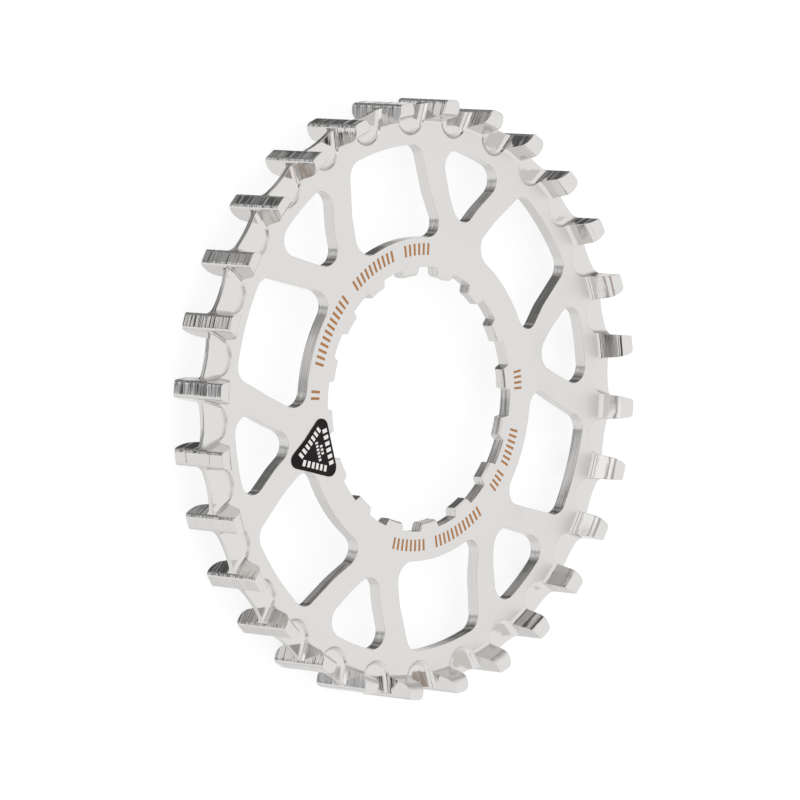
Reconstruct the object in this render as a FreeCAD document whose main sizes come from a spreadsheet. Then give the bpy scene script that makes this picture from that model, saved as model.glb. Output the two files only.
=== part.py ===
import FreeCAD, Part
import math
import os
import Sketcher

# A 28-tooth sprocket for a toothed belt, machined from one dished blank of stainless steel, and the small
# sticker on its hub. Lengths are in millimetres and angles in degrees. The sprocket's axis is +Z, with the
# marked face up. The origin lies on the axis in the middle plane of the rim web, the fin and the teeth.
# +X runs through the middle of one tooth and of one spline root.
doc = FreeCAD.newDocument("belt_sprocket")

DIMENSIONS = (
    ("tooth_count", 28),
    ("belt_pitch", 11),
    ("tip_drop", 0.82),
    ("tooth_width", 10.9),
    ("flank_angle", 12.5),
    ("tip_round", 0.65),
    ("nose_radius", 1.9),
    ("nose_drop", 0.85),
    ("band_foot_radius", 44.74),
    ("band_fillet", 0.8),
    ("gap_radius", 3.05),
    ("gap_depth", 5.78),
    ("gap_clear_radius", 50),
    ("fin_thickness", 0.88),
    ("fin_valley_radius", 47),
    ("fin_arc_radius", 18),
    ("fin_foot_radius", 42),
    ("fin_foot_half_width", 3.6),
    ("fin_top_half_width", 4.3),
    ("fin_root_fillet", 1),
    ("web_thickness", 2.14),
    ("hub_rise", 1.14),
    ("hub_flat_radius", 26.8),
    ("rim_flat_radius", 33.2),
    ("dish_bend_radius", 8),
    ("spline_count", 16),
    ("crest_radius", 19.96),
    ("root_radius", 21.3),
    ("root_angle", 11.4),
    ("crest_angle", 8.5),
    ("slot_inner_radius", 19),
    ("crest_chamfer", 0.3),
    ("window_count", 6),
    ("window_outer_radius", 40.93),
    ("window_corner", 2.7),
    ("large_window_turn", -15),
    ("large_window_inner_radius", 26.08),
    ("large_window_side_distance", 12.52),
    ("large_window_side_angle", 6.06),
    ("small_window_turn", 15),
    ("small_window_apex_radius", 27.8),
    ("small_window_side_angle", 34),
    ("sticker_thickness", 0.15),
    ("sticker_turn", 201.2),
    ("sticker_middle_radius", 24.7),
    ("sticker_arm", 3.89),
    ("sticker_corner", 1.44),
    ("sticker_strip_inner", 20.8),
    ("sticker_strip_outer", 31.4),
    ("sticker_blank_height", 5),
)

sheet = doc.addObject("Spreadsheet::Sheet", "dimensions")
for row, (alias, number) in enumerate(DIMENSIONS, start=1):
    sheet.set(f"A{row}", alias)
    sheet.set(f"B{row}", str(number))
    sheet.setAlias(f"B{row}", alias)
doc.recompute()

# Formulas that several features share, written with the sheet's aliases.
TIP_RADIUS = "dimensions.tooth_count * dimensions.belt_pitch / (2 * pi) - dimensions.tip_drop"
HUB_TOP = "dimensions.web_thickness / 2 + dimensions.hub_rise"
HALF_WEB = "dimensions.web_thickness / 2"
NOSE_CENTRE_RADIUS = TIP_RADIUS + " - dimensions.nose_drop"
NOSE_CENTRE_HEIGHT = "dimensions.tooth_width / 2 - dimensions.nose_radius"
GAP_CENTRE_RADIUS = TIP_RADIUS + " - dimensions.gap_depth + dimensions.gap_radius"
GAP_HALF_ANGLE = "180 / dimensions.tooth_count + dimensions.flank_angle"
CREST_EDGE_ANGLE = "360 / dimensions.spline_count / 2 - dimensions.crest_angle / 2"

HORIZONTAL_AXIS = -1
START, END, CENTRE = 1, 2, 3


def size(alias):
    """The number in the sheet's cell of that alias."""
    return float(sheet.get(alias))


def worked(formula):
    """The value of one of the shared formulas, for a sketch's first shape and for picking edges."""
    return float(sheet.evalExpression(formula))


def point(x, y):
    return FreeCAD.Vector(x, y, 0)


def polar(radius, angle):
    """The sketch point at that radius and angle from the sketch's origin."""
    turned = math.radians(angle)
    return point(radius * math.cos(turned), radius * math.sin(turned))


def below(place):
    """The mirror image of a sketch point in the sketch's horizontal axis."""
    return point(place.x, -place.y)


def origin_feature(body, role):
    for feature in body.Origin.OriginFeatures:
        if feature.Role == role:
            return feature
    raise RuntimeError("no origin feature " + role)


def new_sketch(body, name, plane, turn=None):
    """A sketch on one of the body's own planes, turned about the axis by a formula where one is given."""
    sketch = body.newObject("Sketcher::SketchObject", name)
    sketch.AttachmentSupport = [(origin_feature(body, plane), "")]
    sketch.MapMode = "FlatFace"
    if turn is not None:
        axis = FreeCAD.Vector(0, 0, 1)
        sketch.AttachmentOffset = FreeCAD.Placement(point(0, 0), FreeCAD.Rotation(axis, worked(turn)))
        sketch.setExpression(".AttachmentOffset.Rotation.Angle", turn)
    return sketch


def line(sketch, start, end):
    return sketch.addGeometry(Part.LineSegment(start, end), False)


def arc(sketch, centre, start, end):
    """An arc that runs counter-clockwise from start to end about the centre."""
    first = math.atan2(start.y - centre.y, start.x - centre.x)
    last = math.atan2(end.y - centre.y, end.x - centre.x)
    if last < first:
        last += 2 * math.pi
    circle = Part.Circle(centre, FreeCAD.Vector(0, 0, 1), (start - centre).Length)
    return sketch.addGeometry(Part.ArcOfCircle(circle, first, last), False)


def constrain(sketch, kind, *arguments):
    sketch.addConstraint(Sketcher.Constraint(kind, *arguments))


def bind(sketch, name, formula, kind, *arguments):
    """A named size in the sketch whose value follows a formula of the sheet."""
    value = worked(formula)
    if kind == "Angle":
        value = math.radians(value)
    index = sketch.addConstraint(Sketcher.Constraint(kind, *arguments, value))
    sketch.renameConstraint(index, name)
    unit = " * 1 deg" if kind == "Angle" else " * 1 mm"
    sketch.setExpression("Constraints." + name, "(" + formula + ")" + unit)


def cut_through(body, name, sketch):
    """A pocket that passes through the whole body both ways, checked to have removed something."""
    before = body.Shape.Volume
    pocket = body.newObject("PartDesign::Pocket", name)
    pocket.Profile = sketch
    pocket.Type = "ThroughAll"
    pocket.SideType = "Symmetric"
    doc.recompute()
    removed = before - body.Shape.Volume
    if removed < 1:
        raise RuntimeError(name + " cut nothing")
    print(name, "removed", round(removed, 1), "mm3")
    return pocket


def repeat(body, name, features, count_alias):
    """The features repeated all round the axis."""
    pattern = body.newObject("PartDesign::PolarPattern", name)
    pattern.Originals = features
    pattern.Axis = (origin_feature(body, "Z_Axis"), [""])
    pattern.Angle = 360
    pattern.setExpression("Occurrences", "dimensions." + count_alias)
    body.Tip = pattern
    doc.recompute()
    print(name, "leaves", round(body.Shape.Volume, 1), "mm3")
    return pattern


def round_edges(body, name, chosen, radius_alias):
    """A fillet on each edge of the body that the function chosen picks."""
    base = body.Tip
    edges = [f"Edge{i}" for i, edge in enumerate(base.Shape.Edges, start=1) if chosen(edge)]
    if not edges:
        raise RuntimeError(name + " found no edge")
    fillet = body.newObject("PartDesign::Fillet", name)
    fillet.Base = (base, edges)
    fillet.setExpression("Radius", "dimensions." + radius_alias)
    body.Tip = fillet
    doc.recompute()
    print(name, "rounds", len(edges), "edges")
    return fillet


def axis_distance(vertex):
    return math.hypot(vertex.Point.x, vertex.Point.y)


def ring_edge(radius):
    """Picks the whole circles about the axis that have the given radius."""
    def chosen(edge):
        is_circle = isinstance(edge.Curve, Part.Circle)
        return is_circle and len(edge.Vertexes) == 1 and abs(edge.Curve.Radius - radius) < 0.01
    return chosen


def upright_edge(inner, outer, least_length):
    """Picks the straight edges along the axis that lie between two radii."""
    def chosen(edge):
        if not isinstance(edge.Curve, Part.Line) or edge.Length < least_length:
            return False
        upright = abs(edge.Curve.Direction.z) > 0.999
        return upright and all(inner < axis_distance(vertex) < outer for vertex in edge.Vertexes)
    return chosen


def fin_root_edge(edge):
    """Picks the edges in the fin's two faces where they meet a gap's round bottom and its flanks."""
    half = size("fin_thickness") / 2
    if any(abs(abs(vertex.Point.z) - half) > 0.001 for vertex in edge.Vertexes):
        return False
    if isinstance(edge.Curve, Part.Line):
        return abs(edge.Curve.Direction.z) < 0.001
    return isinstance(edge.Curve, Part.Circle) and abs(edge.Curve.Radius - size("gap_radius")) < 0.001


def draw_tooth_section(sketch):
    """The blank's section: dished web of even thickness, tooth ring with sloped inner bands and round noses."""
    tip = worked(TIP_RADIUS)
    top = worked(HUB_TOP)
    half_web = worked(HALF_WEB)
    crest = size("crest_radius")
    hub_flat = size("hub_flat_radius")
    rim_flat = size("rim_flat_radius")
    band_foot = size("band_foot_radius")
    nose = point(worked(NOSE_CENTRE_RADIUS), worked(NOSE_CENTRE_HEIGHT))
    nose_top = math.sqrt(size("nose_radius") ** 2 - size("nose_drop") ** 2)

    # The band touches the nose's circle: its contact point follows from the foot's distance and bearing.
    foot_to_nose = nose - point(band_foot, half_web)
    bearing = math.atan2(foot_to_nose.y, foot_to_nose.x)
    opening = math.asin(size("nose_radius") / foot_to_nose.Length)
    reach = math.sqrt(foot_to_nose.Length ** 2 - size("nose_radius") ** 2)
    contact = point(
        band_foot + reach * math.cos(bearing + opening),
        half_web + reach * math.sin(bearing + opening),
    )

    tip_edge = point(tip, nose.y + nose_top)
    thickness = size("web_thickness")
    hub_front = line(sketch, point(crest, top), point(hub_flat, top))
    cone_front = line(sketch, point(hub_flat, top), point(rim_flat, half_web))
    rim_front = line(sketch, point(rim_flat, half_web), point(band_foot, half_web))
    band_front = line(sketch, point(band_foot, half_web), contact)
    nose_front = arc(sketch, nose, tip_edge, contact)
    tip_land = line(sketch, tip_edge, below(tip_edge))
    nose_back = arc(sketch, below(nose), below(contact), below(tip_edge))
    band_back = line(sketch, below(contact), point(band_foot, -half_web))
    rim_back = line(sketch, point(band_foot, -half_web), point(rim_flat, -half_web))
    cone_back = line(sketch, point(rim_flat, -half_web), point(hub_flat, top - thickness))
    hub_back = line(sketch, point(hub_flat, top - thickness), point(crest, top - thickness))
    bore = line(sketch, point(crest, top - thickness), point(crest, top))

    constrain(sketch, "Coincident", hub_front, END, cone_front, START)
    constrain(sketch, "Coincident", cone_front, END, rim_front, START)
    constrain(sketch, "Coincident", rim_front, END, band_front, START)
    constrain(sketch, "Tangent", band_front, END, nose_front, END)
    constrain(sketch, "Coincident", nose_front, START, tip_land, START)
    constrain(sketch, "Coincident", tip_land, END, nose_back, END)
    constrain(sketch, "Coincident", nose_back, START, band_back, START)
    constrain(sketch, "Coincident", band_back, END, rim_back, START)
    constrain(sketch, "Coincident", rim_back, END, cone_back, START)
    constrain(sketch, "Coincident", cone_back, END, hub_back, START)
    constrain(sketch, "Coincident", hub_back, END, bore, START)
    constrain(sketch, "Coincident", bore, END, hub_front, START)

    for flat in (hub_front, rim_front, hub_back):
        constrain(sketch, "Horizontal", flat)
    constrain(sketch, "Vertical", bore)
    constrain(sketch, "Symmetric", tip_land, START, tip_land, END, HORIZONTAL_AXIS)
    constrain(sketch, "Symmetric", nose_front, END, nose_back, START, HORIZONTAL_AXIS)
    constrain(sketch, "Equal", nose_front, nose_back)
    constrain(sketch, "Symmetric", rim_front, END, rim_back, START, HORIZONTAL_AXIS)
    constrain(sketch, "Symmetric", rim_front, START, rim_back, END, HORIZONTAL_AXIS)
    constrain(sketch, "Vertical", cone_front, START, cone_back, END)

    bind(sketch, "bore_radius", "dimensions.crest_radius", "DistanceX", hub_front, START)
    bind(sketch, "hub_height", HUB_TOP, "DistanceY", hub_front, START)
    bind(sketch, "hub_radius", "dimensions.hub_flat_radius", "DistanceX", hub_front, END)
    bind(sketch, "rim_radius", "dimensions.rim_flat_radius", "DistanceX", cone_front, END)
    bind(sketch, "rim_height", HALF_WEB, "DistanceY", cone_front, END)
    bind(sketch, "band_radius", "dimensions.band_foot_radius", "DistanceX", rim_front, END)
    bind(sketch, "nose_place", NOSE_CENTRE_RADIUS, "DistanceX", nose_front, CENTRE)
    bind(sketch, "nose_height", NOSE_CENTRE_HEIGHT, "DistanceY", nose_front, CENTRE)
    bind(sketch, "nose_size", "dimensions.nose_radius", "Radius", nose_front)
    bind(sketch, "tip_radius", TIP_RADIUS, "DistanceX", tip_land, START)
    bind(sketch, "hub_back_height", HUB_TOP + " - dimensions.web_thickness", "DistanceY", hub_back, END)


def draw_gap(sketch):
    """The space between two teeth: a round bottom and two flanks that open outwards past the tips."""
    centre = point(worked(GAP_CENTRE_RADIUS), 0)
    radius = size("gap_radius")
    lean = worked(GAP_HALF_ANGLE)
    contact = centre + polar(radius, 90 + lean)
    clear = size("gap_clear_radius")
    far = point(clear, contact.y + (clear - contact.x) * math.tan(math.radians(lean)))
    bottom = arc(sketch, centre, contact, below(contact))
    left = line(sketch, contact, far)
    right = line(sketch, below(contact), below(far))
    mouth = line(sketch, far, below(far))
    constrain(sketch, "Tangent", left, START, bottom, START)
    constrain(sketch, "Tangent", right, START, bottom, END)
    constrain(sketch, "Coincident", left, END, mouth, START)
    constrain(sketch, "Coincident", right, END, mouth, END)
    constrain(sketch, "Symmetric", mouth, START, mouth, END, HORIZONTAL_AXIS)
    constrain(sketch, "PointOnObject", bottom, CENTRE, HORIZONTAL_AXIS)
    bind(sketch, "centre_radius", GAP_CENTRE_RADIUS, "DistanceX", bottom, CENTRE)
    bind(sketch, "bottom_radius", "dimensions.gap_radius", "Radius", bottom)
    bind(sketch, "mouth_radius", "dimensions.gap_clear_radius", "DistanceX", mouth, START)
    bind(sketch, "opening", "2 * (" + GAP_HALF_ANGLE + ")", "Angle", right, START, left, START)


def draw_fin(sketch):
    """One gap's stretch of the fin: its foot and ends lie inside the metal and its edge is a hollow arc."""
    foot = size("fin_foot_radius")
    foot_half = size("fin_foot_half_width")
    top_half = size("fin_top_half_width")
    arc_radius = size("fin_arc_radius")
    valley = size("fin_valley_radius")
    centre = point(valley + arc_radius, 0)
    top = point(centre.x - math.sqrt(arc_radius ** 2 - top_half ** 2), top_half)
    edge = arc(sketch, centre, top, point(top.x, -top.y))
    left = line(sketch, point(foot, foot_half), top)
    right = line(sketch, point(foot, -foot_half), point(top.x, -top.y))
    base = line(sketch, point(foot, foot_half), point(foot, -foot_half))
    constrain(sketch, "Coincident", left, END, edge, START)
    constrain(sketch, "Coincident", right, END, edge, END)
    constrain(sketch, "Coincident", base, START, left, START)
    constrain(sketch, "Coincident", base, END, right, START)
    constrain(sketch, "Symmetric", base, START, base, END, HORIZONTAL_AXIS)
    constrain(sketch, "Symmetric", edge, START, edge, END, HORIZONTAL_AXIS)
    bind(sketch, "foot_radius", "dimensions.fin_foot_radius", "DistanceX", base, START)
    bind(sketch, "foot_half_width", "dimensions.fin_foot_half_width", "DistanceY", base, START)
    bind(sketch, "top_half_width", "dimensions.fin_top_half_width", "DistanceY", edge, START)
    bind(sketch, "edge_radius", "dimensions.fin_arc_radius", "Radius", edge)
    bind(sketch, "edge_centre", "dimensions.fin_valley_radius + dimensions.fin_arc_radius", "DistanceX", edge, CENTRE)


def corner_centre(normal, side_distance, circle_radius):
    """The centre of a window's round corner.

    It lies one corner radius inside the straight side that has that unit normal and distance from the axis,
    and on a circle of the given radius about the axis.
    """
    along = point(normal.y, -normal.x)
    depth = side_distance - size("window_corner")
    return normal * depth + along * math.sqrt(circle_radius ** 2 - depth ** 2)


def chain_tangent(sketch, joints):
    """Tangent contacts between the ends of neighbouring curves, given as (curve, end, curve, end)."""
    for joint in joints:
        constrain(sketch, "Tangent", *joint)


def draw_large_window(sketch):
    """A window between two arcs about the axis, with straight sides that draw together outwards."""
    distance = size("large_window_side_distance")
    lean = size("large_window_side_angle")
    inner_radius = size("large_window_inner_radius")
    outer_radius = size("window_outer_radius")
    corner = size("window_corner")
    normal = polar(1, 90 - lean)
    axis = point(0, 0)
    inner_centre = corner_centre(normal, distance, inner_radius + corner)
    outer_centre = corner_centre(normal, distance, outer_radius - corner)
    hub_contact = inner_centre * (inner_radius / inner_centre.Length)
    rim_contact = outer_centre * (outer_radius / outer_centre.Length)
    side_start = inner_centre + normal * corner
    side_end = outer_centre + normal * corner
    hub_side = arc(sketch, axis, below(hub_contact), hub_contact)
    rim_side = arc(sketch, axis, below(rim_contact), rim_contact)
    left_side = line(sketch, side_start, side_end)
    right_side = line(sketch, below(side_start), below(side_end))
    left_inner = arc(sketch, inner_centre, side_start, hub_contact)
    right_inner = arc(sketch, below(inner_centre), below(hub_contact), below(side_start))
    left_outer = arc(sketch, outer_centre, rim_contact, side_end)
    right_outer = arc(sketch, below(outer_centre), below(side_end), below(rim_contact))
    chain_tangent(sketch, (
        (hub_side, END, left_inner, END),
        (left_inner, START, left_side, START),
        (left_side, END, left_outer, END),
        (left_outer, START, rim_side, END),
        (rim_side, START, right_outer, END),
        (right_outer, START, right_side, END),
        (right_side, START, right_inner, END),
        (right_inner, START, hub_side, START),
    ))
    for curve in (hub_side, rim_side):
        constrain(sketch, "Coincident", curve, CENTRE, HORIZONTAL_AXIS, START)
    for curve in (right_inner, left_outer, right_outer):
        constrain(sketch, "Equal", left_inner, curve)
    bind(sketch, "corner_radius", "dimensions.window_corner", "Radius", left_inner)
    bind(sketch, "inner_radius", "dimensions.large_window_inner_radius", "Radius", hub_side)
    bind(sketch, "outer_radius", "dimensions.window_outer_radius", "Radius", rim_side)
    side_place = "dimensions.large_window_side_distance"
    bind(sketch, "left_distance", side_place, "Distance", HORIZONTAL_AXIS, START, left_side)
    bind(sketch, "right_distance", side_place, "Distance", HORIZONTAL_AXIS, START, right_side)
    bind(sketch, "left_angle", "-dimensions.large_window_side_angle", "Angle", left_side)
    bind(sketch, "right_angle", "dimensions.large_window_side_angle", "Angle", right_side)


def draw_small_window(sketch):
    """A wedge-shaped window with its round point towards the axis and an arc about the axis at its rim."""
    lean = size("small_window_side_angle")
    apex_radius = size("small_window_apex_radius")
    outer_radius = size("window_outer_radius")
    corner = size("window_corner")
    normal = polar(1, 90 + lean)
    side_distance = -apex_radius * math.sin(math.radians(lean))
    apex_centre = point(apex_radius + corner / math.sin(math.radians(lean)), 0)
    outer_centre = corner_centre(normal, side_distance, outer_radius - corner)
    rim_contact = outer_centre * (outer_radius / outer_centre.Length)
    side_start = apex_centre + normal * corner
    side_end = outer_centre + normal * corner
    rim_side = arc(sketch, point(0, 0), below(rim_contact), rim_contact)
    apex = arc(sketch, apex_centre, side_start, below(side_start))
    left_side = line(sketch, side_start, side_end)
    right_side = line(sketch, below(side_start), below(side_end))
    left_outer = arc(sketch, outer_centre, rim_contact, side_end)
    right_outer = arc(sketch, below(outer_centre), below(side_end), below(rim_contact))
    chain_tangent(sketch, (
        (apex, START, left_side, START),
        (left_side, END, left_outer, END),
        (left_outer, START, rim_side, END),
        (rim_side, START, right_outer, END),
        (right_outer, START, right_side, END),
        (right_side, START, apex, END),
    ))
    constrain(sketch, "Coincident", rim_side, CENTRE, HORIZONTAL_AXIS, START)
    constrain(sketch, "PointOnObject", apex, CENTRE, HORIZONTAL_AXIS)
    for curve in (left_outer, right_outer):
        constrain(sketch, "Equal", apex, curve)
    apex_place = "dimensions.small_window_apex_radius"
    apex_place += " + dimensions.window_corner / sin(dimensions.small_window_side_angle * 1 deg)"
    bind(sketch, "corner_radius", "dimensions.window_corner", "Radius", apex)
    bind(sketch, "apex_place", apex_place, "DistanceX", apex, CENTRE)
    bind(sketch, "outer_radius", "dimensions.window_outer_radius", "Radius", rim_side)
    bind(sketch, "left_angle", "dimensions.small_window_side_angle", "Angle", left_side)
    bind(sketch, "right_angle", "-dimensions.small_window_side_angle", "Angle", right_side)


def draw_spline_slot(sketch):
    """One spline root: an arc about the axis, with flanks that part slightly towards the bore."""
    root = polar(size("root_radius"), size("root_angle") / 2)
    crest = polar(size("crest_radius"), worked(CREST_EDGE_ANGLE))
    inner_x = size("slot_inner_radius")
    slope = (root.y - crest.y) / (root.x - crest.x)
    inner = point(inner_x, crest.y + (inner_x - crest.x) * slope)
    root_arc = arc(sketch, point(0, 0), point(root.x, -root.y), root)
    left = line(sketch, inner, root)
    right = line(sketch, point(inner.x, -inner.y), point(root.x, -root.y))
    mouth = line(sketch, inner, point(inner.x, -inner.y))
    constrain(sketch, "Coincident", left, END, root_arc, END)
    constrain(sketch, "Coincident", right, END, root_arc, START)
    constrain(sketch, "Coincident", mouth, START, left, START)
    constrain(sketch, "Coincident", mouth, END, right, START)
    constrain(sketch, "Coincident", root_arc, CENTRE, HORIZONTAL_AXIS, START)
    constrain(sketch, "Symmetric", left, START, right, START, HORIZONTAL_AXIS)
    constrain(sketch, "Equal", left, right)
    root_half = "dimensions.root_radius * sin(dimensions.root_angle / 2 * 1 deg)"
    crest_half = "dimensions.crest_radius * sin((" + CREST_EDGE_ANGLE + ") * 1 deg)"
    bind(sketch, "root_radius", "dimensions.root_radius", "Radius", root_arc)
    bind(sketch, "root_half_width", root_half, "DistanceY", left, END)
    bind(sketch, "mouth_radius", "dimensions.slot_inner_radius", "DistanceX", mouth, START)
    on_crest = sketch.addGeometry(Part.Point(crest), True)
    constrain(sketch, "PointOnObject", on_crest, START, left)
    bind(sketch, "crest_half_width", crest_half, "DistanceY", on_crest, START)
    crest_place = "dimensions.crest_radius * cos((" + CREST_EDGE_ANGLE + ") * 1 deg)"
    bind(sketch, "crest_place", crest_place, "DistanceX", on_crest, START)


def make_sprocket():
    """The sprocket as it is made: a turned blank, its tooth gaps, the fin, the windows and the splines."""
    body = doc.addObject("PartDesign::Body", "sprocket")
    body.Label = "sprocket"

    section = new_sketch(body, "section", "XZ_Plane")
    draw_tooth_section(section)
    blank = body.newObject("PartDesign::Revolution", "turned_blank")
    blank.Profile = section
    blank.ReferenceAxis = (section, ["V_Axis"])
    blank.Angle = 360
    doc.recompute()

    hub_flat = size("hub_flat_radius")
    rim_flat = size("rim_flat_radius")
    at_hub = ring_edge(hub_flat)
    at_rim = ring_edge(rim_flat)
    round_edges(body, "dish_bends", lambda edge: at_hub(edge) or at_rim(edge), "dish_bend_radius")
    round_edges(body, "band_fillets", ring_edge(size("band_foot_radius")), "band_fillet")
    base = body.Tip
    at_bore = ring_edge(size("crest_radius"))
    lead_in = body.newObject("PartDesign::Chamfer", "bore_lead_in")
    lead_in.Base = (base, [f"Edge{i}" for i, edge in enumerate(base.Shape.Edges, start=1) if at_bore(edge)])
    lead_in.setExpression("Size", "dimensions.crest_chamfer")
    body.Tip = lead_in
    doc.recompute()

    half_pitch = "180 / dimensions.tooth_count"
    gap_sketch = new_sketch(body, "gap_outline", "XY_Plane", half_pitch)
    draw_gap(gap_sketch)
    gap = cut_through(body, "tooth_gap", gap_sketch)
    repeat(body, "tooth_gaps", [gap], "tooth_count")
    tip = worked(TIP_RADIUS)
    round_edges(body, "tooth_tips", upright_edge(tip - 0.01, tip + 0.01, size("tooth_width") / 2), "tip_round")

    fin_sketch = new_sketch(body, "fin_outline", "XY_Plane", half_pitch)
    draw_fin(fin_sketch)
    fin = body.newObject("PartDesign::Pad", "fin_stretch")
    fin.Profile = fin_sketch
    fin.SideType = "Symmetric"
    fin.setExpression("Length", "dimensions.fin_thickness")
    doc.recompute()
    repeat(body, "fin", [fin], "tooth_count")
    round_edges(body, "fin_roots", fin_root_edge, "fin_root_fillet")

    large_sketch = new_sketch(body, "large_window_outline", "XY_Plane", "dimensions.large_window_turn")
    draw_large_window(large_sketch)
    large = cut_through(body, "large_window", large_sketch)
    repeat(body, "large_windows", [large], "window_count")
    small_sketch = new_sketch(body, "small_window_outline", "XY_Plane", "dimensions.small_window_turn")
    draw_small_window(small_sketch)
    small = cut_through(body, "small_window", small_sketch)
    repeat(body, "small_windows", [small], "window_count")

    slot_sketch = new_sketch(body, "spline_outline", "XY_Plane")
    draw_spline_slot(slot_sketch)
    slot = cut_through(body, "spline_slot", slot_sketch)
    repeat(body, "splines", [slot], "spline_count")
    return body


def hub_line(lift):
    """The profile of the marked face under the sticker, from the bore outwards, raised by lift along its normal.

    The face is flat, then bends through an arc and goes on down a cone.
    """
    top = worked(HUB_TOP)
    fall = top - worked(HALF_WEB)
    run = size("rim_flat_radius") - size("hub_flat_radius")
    slope = math.atan2(fall, run)
    bend = size("dish_bend_radius")
    bend_start = size("hub_flat_radius") - bend * math.tan(slope / 2)
    centre = point(bend_start, top - bend)
    radius = bend + lift
    along_cone = point(math.cos(slope), -math.sin(slope))
    cone_start = centre + point(math.sin(slope), math.cos(slope)) * radius
    cone_reach = (size("sticker_strip_outer") - cone_start.x) / along_cone.x
    flat_start = point(size("sticker_strip_inner"), top + lift)
    flat_end = point(bend_start, top + lift)
    cone_end = cone_start + along_cone * cone_reach
    return centre, flat_start, flat_end, cone_start, cone_end


def draw_sticker_strip(sketch):
    """The section of a thin layer that lies on the marked face, over the flat hub, the bend and the cone."""
    centre, low_start, low_bend, low_cone, low_end = hub_line(0)
    _, high_start, high_bend, high_cone, high_end = hub_line(size("sticker_thickness"))
    under_flat = line(sketch, low_start, low_bend)
    under_bend = arc(sketch, centre, low_cone, low_bend)
    under_cone = line(sketch, low_cone, low_end)
    outer_end = line(sketch, low_end, high_end)
    over_cone = line(sketch, high_end, high_cone)
    over_bend = arc(sketch, centre, high_cone, high_bend)
    over_flat = line(sketch, high_bend, high_start)
    inner_end = line(sketch, high_start, low_start)
    constrain(sketch, "Coincident", under_flat, END, under_bend, END)
    constrain(sketch, "Coincident", under_bend, START, under_cone, START)
    constrain(sketch, "Coincident", under_cone, END, outer_end, START)
    constrain(sketch, "Coincident", outer_end, END, over_cone, START)
    constrain(sketch, "Coincident", over_cone, END, over_bend, START)
    constrain(sketch, "Coincident", over_bend, END, over_flat, START)
    constrain(sketch, "Coincident", over_flat, END, inner_end, START)
    constrain(sketch, "Coincident", inner_end, END, under_flat, START)
    constrain(sketch, "Coincident", under_bend, CENTRE, over_bend, CENTRE)
    bind(sketch, "bend_radius", "dimensions.dish_bend_radius", "Radius", under_bend)
    bind(sketch, "layer_height", "dimensions.sticker_thickness", "Distance", inner_end)


def draw_sticker_outline(sketch):
    """An equal-sided triangle with round corners, whose one point is turned away from the axis."""
    middle = size("sticker_middle_radius")
    arm = size("sticker_arm")
    radius = size("sticker_corner")
    corners = [point(middle, 0) + polar(arm, angle) for angle in (0, 120, 240)]
    arcs = []
    sides = []
    for corner, angle in zip(corners, (0, 120, 240)):
        arcs.append(arc(sketch, corner, corner + polar(radius, angle - 60), corner + polar(radius, angle + 60)))
    for index in range(3):
        outwards = polar(radius, 120 * index + 60)
        sides.append(line(sketch, corners[index] + outwards, corners[(index + 1) % 3] + outwards))
    for index in range(3):
        constrain(sketch, "Tangent", arcs[index], END, sides[index], START)
        constrain(sketch, "Tangent", sides[index], END, arcs[(index + 1) % 3], START)
    constrain(sketch, "Equal", arcs[0], arcs[1])
    constrain(sketch, "Equal", arcs[0], arcs[2])
    constrain(sketch, "Equal", sides[0], sides[1])
    constrain(sketch, "PointOnObject", arcs[0], CENTRE, HORIZONTAL_AXIS)
    constrain(sketch, "Symmetric", arcs[1], CENTRE, arcs[2], CENTRE, HORIZONTAL_AXIS)
    bind(sketch, "corner_radius", "dimensions.sticker_corner", "Radius", arcs[0])
    point_place = "dimensions.sticker_middle_radius + dimensions.sticker_arm"
    bind(sketch, "point_place", point_place, "DistanceX", arcs[0], CENTRE)
    base_place = "dimensions.sticker_middle_radius - dimensions.sticker_arm / 2"
    bind(sketch, "base_place", base_place, "DistanceX", arcs[1], CENTRE)


def make_sticker():
    """The sticker: a thin layer turned to the dished face, trimmed by an upright triangular block."""
    layer = doc.addObject("PartDesign::Body", "sticker_layer")
    strip = new_sketch(layer, "strip_section", "XZ_Plane")
    draw_sticker_strip(strip)
    turned = layer.newObject("PartDesign::Revolution", "turned_layer")
    turned.Profile = strip
    turned.ReferenceAxis = (strip, ["V_Axis"])
    turned.Angle = 360

    block = doc.addObject("PartDesign::Body", "sticker_block")
    outline = new_sketch(block, "sticker_outline", "XY_Plane", "dimensions.sticker_turn")
    draw_sticker_outline(outline)
    pad = block.newObject("PartDesign::Pad", "outline_block")
    pad.Profile = outline
    pad.setExpression("Length", "dimensions.sticker_blank_height")
    doc.recompute()

    common = doc.addObject("Part::Common", "sticker")
    common.Base = layer
    common.Tool = block
    common.Label = "sticker"
    doc.recompute()
    return common


def check_document():
    for item in doc.Objects:
        if "Invalid" in item.State or "Error" in item.State:
            raise RuntimeError("failed object " + item.Name)


def write_parts(parts):
    """Each sub-part as its own file, named by its label, once every shape has been found sound."""
    for part in parts:
        shape = part.Shape
        if shape.isNull() or not shape.isValid() or len(shape.Solids) != 1:
            raise RuntimeError("unsound shape " + part.Label)
    os.makedirs("parts", exist_ok=True)
    for part in parts:
        part.Shape.exportStep("parts/" + part.Label + ".step")
        print(part.Label, round(part.Shape.Volume, 2), "mm3", part.Shape.BoundBox)


finished = [make_sprocket(), make_sticker()]
check_document()
write_parts(finished)
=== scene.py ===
# %% [markdown]
# A belt drive sprocket for a bicycle. One stainless plate is turned, then milled all round,
# and a small sticker is laid on its face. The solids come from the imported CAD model, the
# frame, and this script gives them their finish, their marks, a camera and light.
# Millimetres are used for every size, and MM turns them into the metres of the scene.

import bmesh
import bpy
import numpy as np
from mathutils import Matrix


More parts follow.
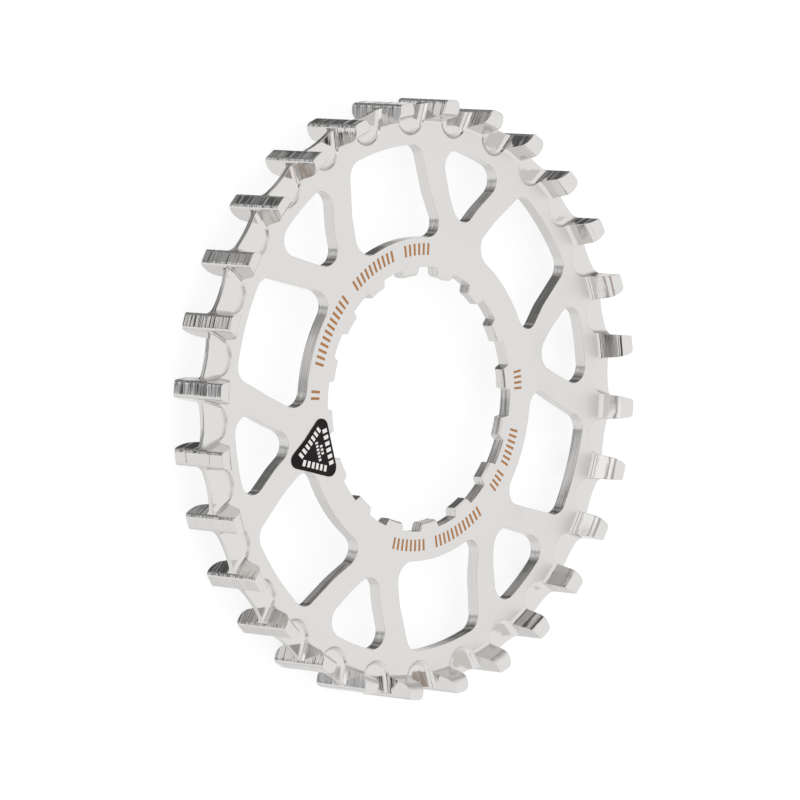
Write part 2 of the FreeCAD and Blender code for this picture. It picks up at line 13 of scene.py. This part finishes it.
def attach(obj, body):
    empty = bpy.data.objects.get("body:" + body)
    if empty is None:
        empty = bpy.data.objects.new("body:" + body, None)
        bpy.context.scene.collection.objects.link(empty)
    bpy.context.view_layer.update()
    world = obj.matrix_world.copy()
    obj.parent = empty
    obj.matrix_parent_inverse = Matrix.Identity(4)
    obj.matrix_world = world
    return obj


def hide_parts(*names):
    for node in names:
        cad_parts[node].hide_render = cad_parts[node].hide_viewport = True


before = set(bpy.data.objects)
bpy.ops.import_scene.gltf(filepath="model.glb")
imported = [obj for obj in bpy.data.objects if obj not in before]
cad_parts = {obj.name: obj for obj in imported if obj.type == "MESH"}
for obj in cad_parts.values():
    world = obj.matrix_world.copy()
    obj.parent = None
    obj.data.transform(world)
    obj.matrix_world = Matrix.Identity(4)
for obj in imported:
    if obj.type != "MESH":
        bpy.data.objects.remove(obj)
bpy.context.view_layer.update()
MM = 0.001

# %% [markdown]
# The driving sizes are those of the CAD model. The web is a dished plate of one thickness: the
# hub face is flat out to hub_flat_radius, a cone falls to rim_flat_radius, and the rim is flat
# again. A soft bend joins the cone to each flat. The marks and the print lie on that face, so
# its height is worked out here once for both.

# %% The dished face
WEB_THICKNESS = 2.14
HUB_RISE = 1.14
HUB_FLAT_RADIUS = 26.8
RIM_FLAT_RADIUS = 33.2
BEND_RADIUS = 8.0
TOOTH_WIDTH = 10.9
TIP_RADIUS = 48.2


def face_height(radius):
    """Height of the front face in mm at a distance from the axis.

    Hub height, less the cone's slope times the distance past the hub's edge. Within one
    tangent length of that edge a circle of BEND_RADIUS replaces the corner: the height falls
    by the square of the distance from the bend's start over twice the radius.
    """
    hub_height = WEB_THICKNESS / 2 + HUB_RISE
    slope = HUB_RISE / (RIM_FLAT_RADIUS - HUB_FLAT_RADIUS)
    tangent = BEND_RADIUS * np.tan(np.arctan(slope) / 2)
    bend_start = HUB_FLAT_RADIUS - tangent
    along_bend = np.clip(radius - bend_start, 0, None)
    bend = hub_height - along_bend ** 2 / (2 * BEND_RADIUS)
    cone = hub_height - slope * (radius - HUB_FLAT_RADIUS)
    return np.where(radius < HUB_FLAT_RADIUS + tangent, bend, cone)


print("face height at the hub and on the cone:", face_height(np.array([24.0, 30.0])).round(3))

# %% [markdown]
# Colours are written as the hex values that a picture would show, and Blender wants linear
# light, so one function turns them. Another one adds a node with its settings and its links.

# %% Colours and nodes
def linear(hex_colour):
    """The linear RGBA of an sRGB hex value: the sRGB curve is undone on each channel."""
    srgb = np.array([int(hex_colour[i:i + 2], 16) for i in (1, 3, 5)]) / 255
    low = srgb / 12.92
    high = ((srgb + 0.055) / 1.055) ** 2.4
    return (*np.where(srgb <= 0.04045, low, high).tolist(), 1.0)


def add(tree, kind, inputs=None, **settings):
    """A new node of that kind. Inputs maps a socket to a value or to the output that feeds it."""
    node = tree.nodes.new(kind)
    for name, value in settings.items():
        setattr(node, name, value)
    for socket, value in (inputs or {}).items():
        if isinstance(value, bpy.types.NodeSocket):
            tree.links.new(value, node.inputs[socket])
        else:
            node.inputs[socket].default_value = value
    return node


def new_material(name):
    """An empty material and its node tree, with the output node in it."""
    material = bpy.data.materials.new(name)
    material.use_nodes = True
    material.node_tree.nodes.clear()
    return material, material.node_tree, add(material.node_tree, "ShaderNodeOutputMaterial")


# %% [markdown]
# The photograph is taken with a long lens from about a metre, at 43 degrees above the face of
# the sprocket, and the picture is rolled so that the sprocket's axis points to the right. The
# camera is placed by those angles, so no position has to be found by eye.

# %% The camera
CAMERA_AZIMUTH = 178.22
CAMERA_ELEVATION = 43.454
CAMERA_ROLL = -94.774
CAMERA_DISTANCE = 1049.93
CAMERA_AIM = np.array([-2.381, -0.310, 0.0])
CAMERA_LENS = 294.29


def camera_axes(azimuth, elevation, roll):
    """Right, up and back of a camera that looks down at the aim, turned about its line of sight."""
    azimuth, elevation, roll = np.radians([azimuth, elevation, roll])
    flat = np.cos(elevation)
    back = np.array([np.cos(azimuth) * flat, np.sin(azimuth) * flat, np.sin(elevation)])
    level_up = np.array([0.0, 0.0, 1.0]) - back * back[2]
    level_up /= np.linalg.norm(level_up)
    level_right = np.cross(level_up, back)
    up = np.cos(roll) * level_up + np.sin(roll) * level_right
    return np.cross(up, back), up, back


right, up, back = camera_axes(CAMERA_AZIMUTH, CAMERA_ELEVATION, CAMERA_ROLL)
eye = (CAMERA_AIM + CAMERA_DISTANCE * back) * MM
camera_data = bpy.data.cameras.new("camera")
camera_data.lens = CAMERA_LENS
camera_data.sensor_width = 36
camera_data.clip_start = 0.05
camera_data.clip_end = 50
camera = bpy.data.objects.new("camera", camera_data)
turn = np.column_stack([right, up, back])
camera.matrix_world = Matrix.Translation(eye) @ Matrix(turn.tolist()).to_4x4()
bpy.context.scene.collection.objects.link(camera)
bpy.context.scene.camera = camera
print("camera at", (eye / MM).round(1), "mm, looking along", (-back).round(4))

# %% [markdown]
# Polished metal shows little but its surroundings. The photograph's steel is an even light
# grey wherever it mirrors what is above it. It is dark where it mirrors low directions on one
# side, and it shows one brighter card and a few narrow dark things next to the camera. So the
# world is a white tent with patches on its wall. A patch is a span of azimuth and elevation
# with soft edges. All is a formula of the direction alone, so it stays when the camera moves.
# Where the camera looks past the floor into the tent itself, it sees a plain white page.

# %% The light tent
# Each row: middle azimuth, half width, softness, middle elevation, half height, softness,
# light, tint.
TENT_PATCHES = (
    ("low wall", 0, 180, 10, -90, 72, 30, 0.94, "#FFFFFF"),
    ("shaded side", -72, 36, 40, -90, 80, 40, 0.80, "#FFFFFF"),
    ("open side", 86, 58, 24, -90, 108, 46, 0.45, "#FFFFFF"),
    ("dark room", 79, 36, 20, -90, 82, 24, 0.08, "#FFFFFF"),
    ("doorway", 87, 9, 8, -48, 18, 12, 0.40, "#FFFFFF"),
    ("upper shelf", 84, 44, 20, -31, 3, 5, 0.46, "#FFFFFF"),
    ("lower shelf", 84, 44, 20, -57, 3, 5, 0.44, "#FFFFFF"),
    ("room's edge", 154, 14, 12, -90, 60, 16, 0.86, "#FFFFFF"),
    ("pale strip", 178, 9, 6, -90, 60, 16, 0.56, "#FAFDFF"),
    ("far stand", 101, 12, 6, 13, 8, 6, 0.04, "#FFFFFF"),
    ("dim corner", 144, 24, 14, 40, 12, 10, 0.52, "#FFFFFF"),
    ("cable", 156, 33, 12, -57, 6, 6, 0.08, "#FFFFFF"),
    ("bright card", 158, 26, 16, 4, 25, 14, 1.15, "#FFFFFF"),
    ("card's foot", 156, 33, 12, -31, 5, 5, 0.10, "#FFFFFF"),
    ("warm card", -124, 15, 16, 45, 8, 10, 0.50, "#FFEFE4"),
    ("dark lamp", -162, 15, 8, -17, 8, 4, 0.03, "#FFFFFF"),
    ("dark lamp arm", -158, 12, 8, 40, 9, 6, 0.02, "#FFFFFF"),
    ("lamp's rim", -158, 8, 6, 14, 5, 6, 0.10, "#FFFFFF"),
)

world = bpy.data.worlds.new("light tent")
bpy.context.scene.world = world
world.use_nodes = True
tree = world.node_tree
tree.nodes.clear()
direction = add(tree, "ShaderNodeTexCoord").outputs["Generated"]
parts = add(tree, "ShaderNodeSeparateXYZ", {0: direction}).outputs
azimuth = add(tree, "ShaderNodeMath", {0: parts["Y"], 1: parts["X"]}, operation="ARCTAN2").outputs[0]
azimuth = add(tree, "ShaderNodeMath", {0: azimuth}, operation="DEGREES").outputs[0]
elevation = add(tree, "ShaderNodeMath", {0: parts["Z"]}, operation="ARCSINE").outputs[0]
elevation = add(tree, "ShaderNodeMath", {0: elevation}, operation="DEGREES").outputs[0]


def span(tree, value, middle, half, softness):
    """1 within half of the middle and 0 beyond, with a smooth step as wide as the softness."""
    off = add(tree, "ShaderNodeMath", {0: value, 1: middle + 180, 2: middle - 180},
              operation="WRAP").outputs[0]
    off = add(tree, "ShaderNodeMath", {0: off, 1: middle}, operation="SUBTRACT").outputs[0]
    off = add(tree, "ShaderNodeMath", {0: off}, operation="ABSOLUTE").outputs[0]
    return add(tree, "ShaderNodeMapRange", {"Value": off, "From Min": half + softness / 2,
                                            "From Max": half - softness / 2},
               interpolation_type="SMOOTHSTEP").outputs[0]


light = (1, 1, 1, 1)
for name, side, half_width, side_soft, height, half_height, height_soft, level, tint in TENT_PATCHES:
    across = span(tree, azimuth, side, half_width, side_soft)
    upwards = span(tree, elevation, height, half_height, height_soft)
    patch = add(tree, "ShaderNodeMath", {0: across, 1: upwards}, operation="MULTIPLY").outputs[0]
    colour = tuple(level * part for part in linear(tint)[:3]) + (1,)
    light = add(tree, "ShaderNodeMix", {"Factor": patch, "A": light, "B": colour}, data_type="RGBA",
                label=name).outputs["Result"]
direct = add(tree, "ShaderNodeLightPath").outputs["Is Camera Ray"]
light = add(tree, "ShaderNodeMix", {"Factor": direct, "A": light, "B": (1, 1, 1, 1)}, data_type="RGBA",
            label="white page").outputs["Result"]
background = add(tree, "ShaderNodeBackground", {"Color": light, "Strength": 1.0})
add(tree, "ShaderNodeOutputWorld", {"Surface": background.outputs[0]})

# %% [markdown]
# The floor is white card. The camera sees it a little brighter than the tent lights it, so that
# it is as white as the page round the photograph and still keeps a faint shadow. The steel
# mirrors the tent and not the floor, as it would if it were held above it on a thread.

# %% The floor
FLOOR_SIZE = 20000
FLOOR_GAP = 0.02
CARD_SHADE = 0.25
CARD_GLOW = 0.82

corner = FLOOR_SIZE / 2 * MM
floor_height = (-TOOTH_WIDTH / 2 - FLOOR_GAP) * MM
floor_mesh = bpy.data.meshes.new("floor")
floor_mesh.from_pydata([(-corner, -corner, floor_height), (corner, -corner, floor_height),
                        (corner, corner, floor_height), (-corner, corner, floor_height)],
                       [], [(0, 1, 2, 3)])
floor = bpy.data.objects.new("floor", floor_mesh)
bpy.context.scene.collection.objects.link(floor)
floor.visible_glossy = False
material, tree, output = new_material("white card")
card = add(tree, "ShaderNodeBsdfDiffuse", {"Color": (CARD_SHADE, CARD_SHADE, CARD_SHADE, 1)})
path = add(tree, "ShaderNodeLightPath")
seen = add(tree, "ShaderNodeMath", {0: path.outputs["Is Camera Ray"], 1: path.outputs["Is Glossy Ray"]},
           operation="MAXIMUM")
seen = add(tree, "ShaderNodeMath", {0: seen.outputs[0], 1: path.outputs["Is Transmission Ray"]},
           operation="MAXIMUM")
glow = add(tree, "ShaderNodeMath", {0: seen.outputs[0], 1: CARD_GLOW}, operation="MULTIPLY")
page = add(tree, "ShaderNodeEmission", {"Strength": glow.outputs[0]})
both = add(tree, "ShaderNodeAddShader", {0: card.outputs[0], 1: page.outputs[0]})
tree.links.new(both.outputs[0], output.inputs["Surface"])
floor_mesh.materials.append(material)

# %% [markdown]
# The sprocket is machined from stainless steel plate. Its flat and coned faces are ground
# satin, which spreads reflections evenly. The teeth and the fin are cut bright, so they mirror
# each other, and the small round at the root of each gap is duller. The windows and the bore
# are milled. A tool that goes round or along a wall leaves lines of even height, which tip the
# surface up and down: most on the turned tips of the teeth and in the bore, less on the flanks
# and in the windows. One material tells these apart by where the surface lies and which way it
# faces, and softens every edge by a hair as a deburring brush does. The fin's outer edge is a
# little crowned, by a few degrees to each side. It is drawn by tipping the surface there, which
# is enough at this size.

# %% Stainless steel
# Where the kinds of surface meet: distances from the axis and from the middle plane.
BORE_RADIUS = 23.5
TOOTH_RING_RADIUS = 42.25
GAP_ROOT_RADIUS = 43.6
FIN_EDGE_START = 46.45
FIN_EDGE_END = 47.55
FIN_TOP = 0.6
LAND_RADIUS = TIP_RADIUS - 0.675
LAND_TOP = 5.22

# The lines and the slow waves across them: their spacing, their length and how far they tip.
LINE_SPACING = 0.20
LINE_LENGTH = 10.0
LINE_TIP = (0.5, 0.5, 1.0)
WAVE_SPACING = 0.9
WAVE_TIP = (0.12, 0.12, 0.0)

# The share of the lines' tip that each kind of surface has. The bore and the lands have all.
WINDOW_LINES = 0.45
TOOTH_LINES = 0.15
FLANK_LINES = 0.6

# Roughness: low is bright and mirrors, high is satin.
TOOTH_ROUGHNESS = 0.10
WINDOW_ROUGHNESS = 0.22
SATIN_ROUGHNESS = 0.34
GAP_ROOT_ROUGHNESS = 0.36

EDGE_RADIUS = 0.14
FIN_BARE_EDGE = 0.08
FIN_EDGE_LEAN = 0.17


def stainless_steel():
    """Machined stainless steel: satin faces, bright teeth and fin, lined tips, duller windows."""
    material, tree, output = new_material("machined stainless steel")

    def past(value, limit, blend):
        """0 before the limit and 1 past it, over the width of the blend, turned round if below 0."""
        return add(tree, "ShaderNodeMapRange", {"Value": value, "From Min": limit - blend / 2,
                                                "From Max": limit + blend / 2}).outputs[0]

    def times(*values):
        """The product of two or more values."""
        product = values[0]
        for value in values[1:]:
            product = add(tree, "ShaderNodeMath", {0: product, 1: value}, operation="MULTIPLY").outputs[0]
        return product

    def less(first, second):
        """The first value less the second, and never below 0."""
        return add(tree, "ShaderNodeMath", {0: first, 1: second}, operation="SUBTRACT",
                   use_clamp=True).outputs[0]

    def size_of(value):
        return add(tree, "ShaderNodeMath", {0: value}, operation="ABSOLUTE").outputs[0]

    def vector(operation, inputs, result=0):
        return add(tree, "ShaderNodeVectorMath", inputs, operation=operation).outputs[result]

    def mixed(share, first, second):
        return add(tree, "ShaderNodeMix", {"Factor": share, "A": first, "B": second}).outputs[0]

    # Where the point lies, in mm, and which way the surface faces there.
    coordinates = add(tree, "ShaderNodeTexCoord")
    place = vector("SCALE", {0: coordinates.outputs["Object"], "Scale": 1 / MM})
    upright = add(tree, "ShaderNodeSeparateXYZ", {0: place}).outputs["Z"]
    level = vector("MULTIPLY", {0: place, 1: (1, 1, 0)})
    radius = vector("LENGTH", {0: level}, "Value")
    height = size_of(upright)
    facing = size_of(add(tree, "ShaderNodeSeparateXYZ", {0: coordinates.outputs["Normal"]}).outputs["Z"])
    outwards = size_of(vector("DOT_PRODUCT", {0: vector("NORMALIZE", {0: level}),
                                              1: coordinates.outputs["Normal"]}, "Value"))

    # Each of these is 1 on one kind of surface and 0 elsewhere.
    toothed = past(radius, TOOTH_RING_RADIUS, 0.1)
    fin = times(toothed, past(height, FIN_TOP, -0.2))
    off_fin = less(1.0, fin)
    satin = times(past(facing, 0.93, 0.06), off_fin)
    land = times(past(radius, LAND_RADIUS, 0.15), past(height, LAND_TOP, -0.08))
    flank = times(toothed, past(outwards, 0.6, -0.2), off_fin)
    gap_root = times(toothed, past(radius, GAP_ROOT_RADIUS, -0.2), past(facing, 0.9825, -0.025))
    fin_edge = times(fin, past(facing, 0.25, -0.1), past(radius, FIN_EDGE_START, 0.1),
                     past(radius, FIN_EDGE_END, -0.1))
    worked = less(less(1.0, satin), gap_root)

    # The lines: noise that is long along the wall and short across it.
    across = add(tree, "ShaderNodeCombineXYZ", {"Z": times(upright, 0.5 / LINE_SPACING)}).outputs[0]
    lines_at = vector("ADD", {0: vector("SCALE", {0: level, "Scale": 0.5 / LINE_LENGTH}), 1: across})
    lines = add(tree, "ShaderNodeTexNoise", {"Vector": lines_at, "Scale": 1.0, "Detail": 2.0,
                                             "Roughness": 0.7}).outputs["Color"]
    lines = vector("MULTIPLY", {0: vector("SUBTRACT", {0: lines, 1: (0.5, 0.5, 0.5)}), 1: LINE_TIP})
    share = add(tree, "ShaderNodeMapRange", {"Value": toothed, "To Min": WINDOW_LINES,
                                             "To Max": TOOTH_LINES}).outputs[0]
    share = mixed(flank, share, FLANK_LINES)
    share = mixed(past(radius, BORE_RADIUS, -1), share, 1.0)
    share = mixed(land, share, 1.0)
    lines = vector("SCALE", {0: lines, "Scale": times(share, worked)})

    # The waves: slow noise along the wall, the same at every height.
    waves_at = vector("SCALE", {0: level, "Scale": 0.5 / WAVE_SPACING})
    waves = add(tree, "ShaderNodeTexNoise", {"Vector": waves_at, "Scale": 1.0,
                                             "Detail": 1.0}).outputs["Color"]
    waves = vector("MULTIPLY", {0: vector("SUBTRACT", {0: waves, 1: (0.5, 0.5, 0.5)}), 1: WAVE_TIP})
    waves = vector("SCALE", {0: waves, "Scale": worked})

    # The crown of the fin's outer edge: each half leans to its own side of the middle plane.
    side = add(tree, "ShaderNodeMath", {0: upright}, operation="SIGN").outputs[0]
    lean = times(fin_edge, past(height, FIN_BARE_EDGE, 0.08), FIN_EDGE_LEAN, side)
    crown = add(tree, "ShaderNodeCombineXYZ", {"Z": lean}).outputs[0]

    tipped = add(tree, "ShaderNodeBevel", {"Radius": EDGE_RADIUS * MM}, samples=6).outputs[0]
    for tip in (lines, crown, waves):
        tipped = vector("ADD", {0: tipped, 1: tip})
    tipped = vector("NORMALIZE", {0: tipped})

    roughness = add(tree, "ShaderNodeMapRange", {"Value": toothed, "To Min": WINDOW_ROUGHNESS,
                                                 "To Max": TOOTH_ROUGHNESS}).outputs[0]
    roughness = mixed(satin, roughness, SATIN_ROUGHNESS)
    roughness = mixed(gap_root, roughness, GAP_ROOT_ROUGHNESS)
    steel = add(tree, "ShaderNodeBsdfPrincipled", {"Base Color": linear("#DFDDDB"), "Metallic": 1.0,
                                                   "Roughness": roughness, "Normal": tipped})
    tree.links.new(steel.outputs[0], output.inputs["Surface"])
    return material


steel_finish = stainless_steel()

# %% [markdown]
# The solid arrives as loose triangles, which would each show flat. A copy has its doubled points
# merged, keeps every edge sharp that turns by more than SHARP_ANGLE degrees, and is shaded smooth
# in between. Face-weighted normals then keep the large flats flat next to their small rounds.

# %% The sprocket's finished surface
SHARP_ANGLE = 24
MERGE_DISTANCE = 0.0005


def finished_copy(node, name):
    """The CAD node's mesh with its points merged and its smooth faces shaded as one."""
    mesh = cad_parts[node].data.copy()
    mesh.name = name
    work = bmesh.new()
    work.from_mesh(mesh)
    bmesh.ops.remove_doubles(work, verts=work.verts, dist=MERGE_DISTANCE * MM)
    for face in work.faces:
        face.smooth = True
    for edge in work.edges:
        edge.smooth = edge.is_manifold and edge.calc_face_angle() < np.radians(SHARP_ANGLE)
    work.to_mesh(mesh)
    work.free()
    piece = bpy.data.objects.new(name, mesh)
    bpy.context.scene.collection.objects.link(piece)
    weighted = piece.modifiers.new("face weights", "WEIGHTED_NORMAL")
    weighted.keep_sharp = True
    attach(piece, "root")
    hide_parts(node)
    return piece


sprocket = finished_copy("sprocket", "sprocket_surface")
sprocket.data.materials.clear()
sprocket.data.materials.append(steel_finish)
print("sprocket surface:", len(sprocket.data.vertices), "points,", len(sprocket.data.polygons), "triangles")

# %% [markdown]
# The hub carries marks burnt into the steel by a laser, which tints it brown and takes its shine
# away. They are runs of plain bars round the hub. Each bar is a small patch between two radii
# and two angles, laid a hair above the face.

# %% The laser marks
MARK_LIFT = 0.012
BAR_SHARE = 0.42
# Each row: inner and outer radius, first and last angle, number of places, places with no bar.
MARK_RUNS = (
    (23.2, 25.1, 89.5, 169.5, 32, (6, 7, 18, 19)),
    (23.2, 25.1, 177.5, 182.5, 2, ()),
    (22.3, 24.0, 5.0, 14.0, 4, ()),
    (22.2, 24.0, -38.0, -10.0, 12, (4,)),
    (22.6, 24.5, -101.0, -48.0, 22, (8, 9)),
)


def bars_on_ring(inner, outer, first, last, count, gaps):
    """Corner angles and radii of bars in a run from first to last degrees, but not in the gaps."""
    pitch = (last - first) / count
    starts = first + pitch * (np.arange(count) + (1 - BAR_SHARE) / 2)
    kept = ~np.isin(np.arange(count), gaps)
    return [(inner, outer, start, start + pitch * BAR_SHARE) for start in starts[kept]]


def patch_grid(corners, lift, across=3):
    """Points and faces of one patch laid on the dished face.

    The four corners (x, y) are blended: point = corner sums weighted by u and v from 0 to 1.
    The height is that of the dished face at the point's distance from the axis, plus the lift.
    """
    u, v = np.meshgrid(np.linspace(0, 1, across), np.linspace(0, 1, across))
    u, v = u.ravel()[:, None], v.ravel()[:, None]
    a, b, c, d = [np.array(corner) for corner in corners]
    flat = (1 - u) * (1 - v) * a + u * (1 - v) * b + u * v * c + (1 - u) * v * d
    heights = face_height(np.hypot(flat[:, 0], flat[:, 1])) + lift
    first = (np.arange(across - 1)[:, None] * across + np.arange(across - 1)).ravel()
    faces = np.stack([first, first + 1, first + across + 1, first + across], axis=1)
    return np.column_stack([flat, heights]), faces


def patches_mesh(name, all_corners, lift, material):
    """One object made of many patches, in metres, riding on the sprocket."""
    points, faces = [], []
    for corners in all_corners:
        grid, quads = patch_grid(corners, lift)
        faces.append(quads + sum(len(p) for p in points))
        points.append(grid)
    mesh = bpy.data.meshes.new(name)
    mesh.from_pydata((np.vstack(points) * MM).tolist(), [], np.vstack(faces).tolist())
    mesh.materials.append(material)
    piece = bpy.data.objects.new(name, mesh)
    bpy.context.scene.collection.objects.link(piece)
    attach(piece, "root")
    print(name, "has", len(mesh.polygons), "faces")


def ring_corners(inner, outer, start, end):
    """The corners of a bar between two radii and two angles, round from the inner start."""
    start, end = np.radians([start, end])
    return [(radius * np.cos(turn), radius * np.sin(turn))
            for radius, turn in ((inner, start), (outer, start), (outer, end), (inner, end))]


material, tree, output = new_material("laser mark on steel")
mark = add(tree, "ShaderNodeBsdfPrincipled", {"Base Color": linear("#B27A45"), "Metallic": 0.3,
                                              "Roughness": 0.5})
tree.links.new(mark.outputs[0], output.inputs["Surface"])
bars = [bar for run in MARK_RUNS for bar in bars_on_ring(*run)]
patches_mesh("laser_marks", [ring_corners(*bar) for bar in bars], MARK_LIFT, material)

# %% [markdown]
# The sticker is black vinyl with a slight gloss, cut as a triangle with round corners. Its print
# is rows of plain white bars: one row along each side and two short ones in the middle. They
# are laid on the sticker's own top, so they bend over the hub's edge with it.

# %% The sticker and its print
STICKER_THICKNESS = 0.15
STICKER_TURN = 201.2
STICKER_MIDDLE_RADIUS = 24.7
STICKER_ARM = 3.89
STICKER_CORNER = 1.44
PRINT_LIFT = STICKER_THICKNESS + 0.02
PRINT_BAR_SHARE = 0.6
SIDE_DISTANCE = STICKER_ARM / 2 + STICKER_CORNER
# Each row: the side it runs along, its distance from the middle, bar height, row length, bars.
PRINT_ROWS = (
    (60, SIDE_DISTANCE - 1.65, 1.0, 5.6, 6),
    (180, SIDE_DISTANCE - 1.45, 1.0, 6.4, 6),
    (300, SIDE_DISTANCE - 1.65, 1.0, 6.2, 7),
    (180, -0.1, 0.55, 3.4, 6),
    (180, 0.75, 0.55, 1.8, 3),
)

material, tree, output = new_material("black vinyl")
vinyl = add(tree, "ShaderNodeBsdfPrincipled", {"Base Color": linear("#14100F"), "Roughness": 0.4,
                                               "Specular IOR Level": 0.14})
tree.links.new(vinyl.outputs[0], output.inputs["Surface"])
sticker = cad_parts["sticker"]
sticker.data.materials.clear()
sticker.data.materials.append(material)


def print_row(side, inset, bar_height, length, count):
    """Corners of a row of bars along one side of the sticker.

    The row's own axes are u along the side and v outwards from the sticker's middle. They are
    turned by the side's angle and moved to the middle of the sticker.
    """
    middle = STICKER_MIDDLE_RADIUS * np.array([np.cos(np.radians(STICKER_TURN)),
                                               np.sin(np.radians(STICKER_TURN))])
    outwards = np.radians(STICKER_TURN + side)
    v_axis = np.array([np.cos(outwards), np.sin(outwards)])
    u_axis = np.array([-v_axis[1], v_axis[0]])
    pitch = length / count
    rows = []
    for index in range(count):
        start = -length / 2 + pitch * (index + (1 - PRINT_BAR_SHARE) / 2)
        end = start + pitch * PRINT_BAR_SHARE
        ends = [(start, inset), (end, inset), (end, inset + bar_height), (start, inset + bar_height)]
        rows.append([middle + u * u_axis + v * v_axis for u, v in ends])
    return rows


material, tree, output = new_material("white print")
ink = add(tree, "ShaderNodeBsdfPrincipled", {"Base Color": linear("#F2F0EE"), "Roughness": 0.5})
tree.links.new(ink.outputs[0], output.inputs["Surface"])
print_bars = [bar for row in PRINT_ROWS for bar in print_row(*row)]
patches_mesh("sticker_print", print_bars, PRINT_LIFT, material)

# %% [markdown]
# The standard view transform shows each colour as it is written.

# %% The look of the picture
bpy.context.scene.view_settings.view_transform = "Standard"
